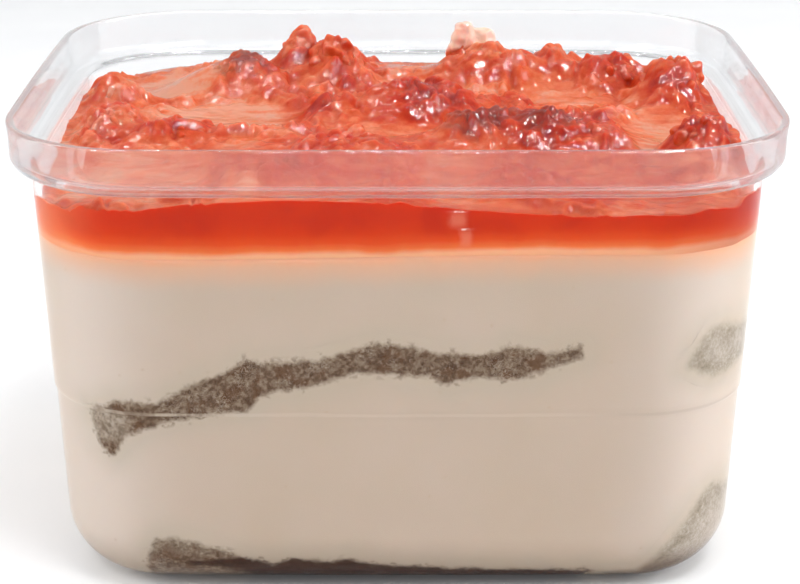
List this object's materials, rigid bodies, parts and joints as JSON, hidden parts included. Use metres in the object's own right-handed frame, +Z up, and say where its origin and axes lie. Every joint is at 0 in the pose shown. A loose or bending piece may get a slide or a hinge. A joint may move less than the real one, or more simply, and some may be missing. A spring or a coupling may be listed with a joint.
{
  "type": "rose tiramisu cup",
  "caption": "Layered tiramisu dessert in a clear rounded rectangular tub: soaked sponge, cream and a lumpy glossy rose and berry jam topping.",
  "frame": {"origin": "centre of the tub's flat underside, on the surface that it stands on", "axes": "+X along the long sides, -Y towards the side shown in front, +Z up"},
  "size_m": [0.106, 0.089, 0.066],
  "materials": {
    "tub": "clear, smooth",
    "cream": "smooth, moist",
    "sponge": "porous, soaked",
    "jam": "wet, glossy",
    "fruit": "wet, glossy"
  },
  "bodies": {
    "root": {"tub": "tub", "cream": "cream", "sponge_base_wide": "sponge", "sponge_base_side": "sponge", "sponge_middle_wide": "sponge", "sponge_middle_side": "sponge", "jam": "jam", "fruit_01": "fruit", "fruit_02": "fruit", "fruit_03": "fruit", "fruit_04": "fruit", "fruit_05": "fruit", "fruit_06": "fruit", "fruit_07": "fruit", "fruit_08": "fruit", "fruit_09": "fruit", "fruit_10": "fruit", "fruit_11": "fruit", "fruit_12": "fruit", "fruit_13": "fruit", "fruit_14": "fruit", "fruit_15": "fruit", "fruit_16": "fruit", "fruit_17": "fruit", "fruit_18": "fruit", "fruit_19": "fruit", "fruit_20": "fruit"}
  },
  "joints": []
}
